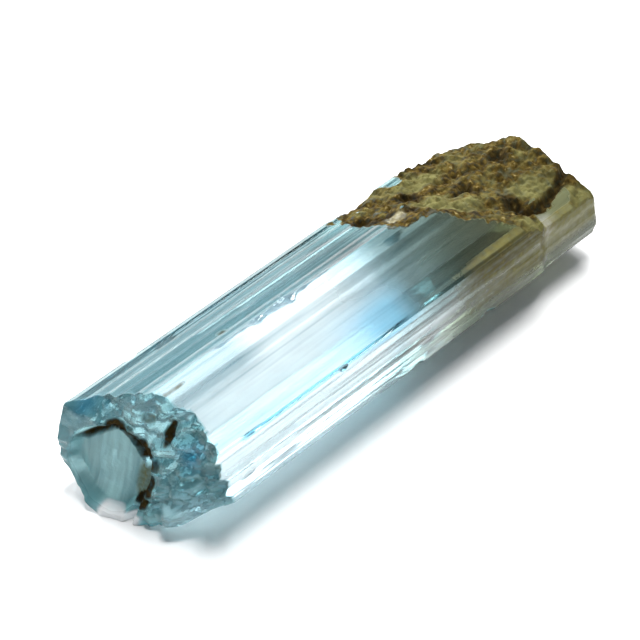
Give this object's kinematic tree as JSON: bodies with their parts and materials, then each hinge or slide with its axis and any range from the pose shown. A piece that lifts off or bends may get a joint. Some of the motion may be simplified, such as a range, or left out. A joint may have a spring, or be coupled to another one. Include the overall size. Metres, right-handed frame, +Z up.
{
  "type": "aquamarine crystal",
  "caption": "Loose gem aquamarine: a striated hexagonal beryl prism, clear blue turning olive, with a cracked near end and an iron-stained broken far end.",
  "frame": {"origin": "middle of the surface that the crystal lies on, under the centre of its outline", "axes": "+X along the prism towards the iron-stained end, +Y across it towards the dark striped side, +Z up"},
  "size_m": [0.0378, 0.0098, 0.0093],
  "materials": {
    "aquamarine": "clear beryl, glossy along the striated faces, satin on the broken ends, iron-stained brown on top of the far end"
  },
  "bodies": {
    "root": {"aquamarine_crystal": "aquamarine"}
  },
  "joints": []
}
